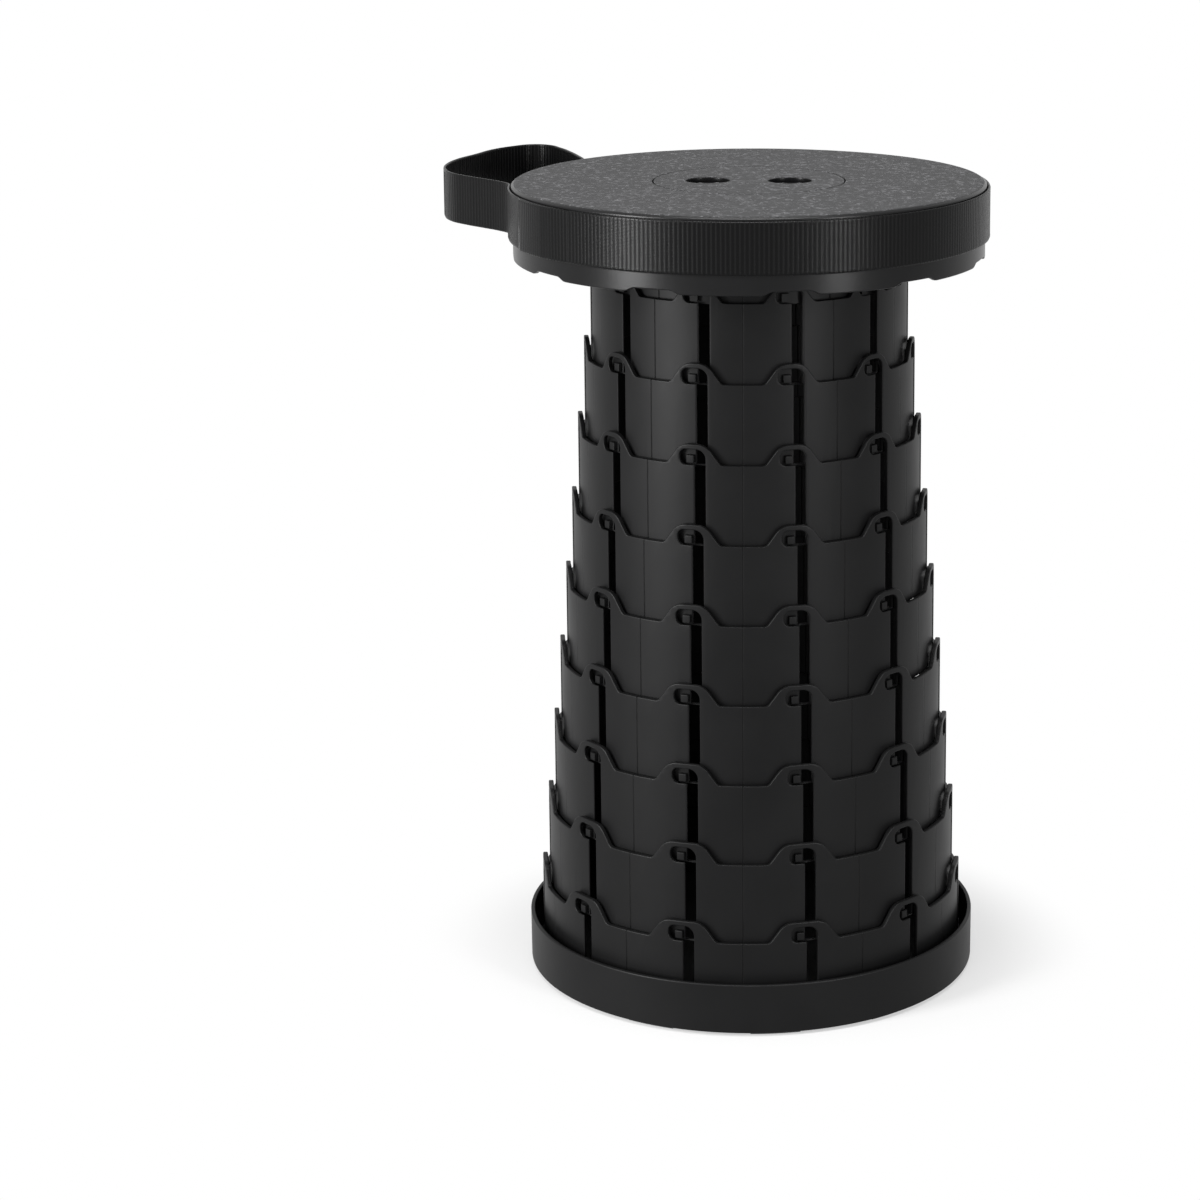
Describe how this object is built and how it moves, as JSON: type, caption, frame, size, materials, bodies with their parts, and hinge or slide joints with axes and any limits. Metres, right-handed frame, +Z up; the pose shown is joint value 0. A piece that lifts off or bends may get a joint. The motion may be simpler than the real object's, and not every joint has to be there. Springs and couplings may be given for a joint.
{
  "type": "telescoping folding stool",
  "caption": "Black plastic folding stool: a round seat on nested rings that slide out and lock, a shallow base, and a webbing strap with a carry loop.",
  "frame": {"origin": "middle of the base, at floor level under the foot pads", "axes": "+Z up along the rings' common axis, -Y is the front in the picture, +X is to its right"},
  "size_m": [0.2925, 0.2796, 0.4205],
  "materials": {
    "black_plastic": "satin",
    "webbing": "ribbed webbing",
    "screw_steel": "zinc plated",
    "foot_rubber": "matt"
  },
  "bodies": {
    "base": {"base_tray": "black_plastic", "base_feet": "foot_rubber", "base_screws": "screw_steel", "ring_9": "black_plastic"},
    "ring_8": {"ring_8": "black_plastic"},
    "ring_7": {"ring_7": "black_plastic"},
    "ring_6": {"ring_6": "black_plastic"},
    "ring_5": {"ring_5": "black_plastic"},
    "ring_4": {"ring_4": "black_plastic"},
    "ring_3": {"ring_3": "black_plastic"},
    "ring_2": {"ring_2": "black_plastic"},
    "ring_1": {"ring_1": "black_plastic"},
    "seat": {"seat_cover": "black_plastic", "seat_centre_cap": "black_plastic", "seat_ring": "black_plastic", "seat_screws": "screw_steel", "strap_band": "webbing", "strap_handle": "webbing", "strap_fold": "webbing", "strap_tail": "webbing"}
  },
  "joints": [
    {"name": "ring_8_slide", "type": "slide", "parent": "base", "child": "ring_8", "axis": [0, 0, 1], "range_m": [-0.0402, 0]},
    {"name": "ring_7_slide", "type": "slide", "parent": "ring_8", "child": "ring_7", "axis": [0, 0, 1], "range_m": [-0.0402, 0]},
    {"name": "ring_6_slide", "type": "slide", "parent": "ring_7", "child": "ring_6", "axis": [0, 0, 1], "range_m": [-0.0402, 0]},
    {"name": "ring_5_slide", "type": "slide", "parent": "ring_6", "child": "ring_5", "axis": [0, 0, 1], "range_m": [-0.0402, 0]},
    {"name": "ring_4_slide", "type": "slide", "parent": "ring_5", "child": "ring_4", "axis": [0, 0, 1], "range_m": [-0.0402, 0]},
    {"name": "ring_3_slide", "type": "slide", "parent": "ring_4", "child": "ring_3", "axis": [0, 0, 1], "range_m": [-0.0402, 0]},
    {"name": "ring_2_slide", "type": "slide", "parent": "ring_3", "child": "ring_2", "axis": [0, 0, 1], "range_m": [-0.0402, 0]},
    {"name": "ring_1_slide", "type": "slide", "parent": "ring_2", "child": "ring_1", "axis": [0, 0, 1], "range_m": [-0.0402, 0]},
    {"name": "seat_slide", "type": "slide", "parent": "ring_1", "child": "seat", "axis": [0, 0, 1], "range_m": [-0.0324, 0]}
  ]
}
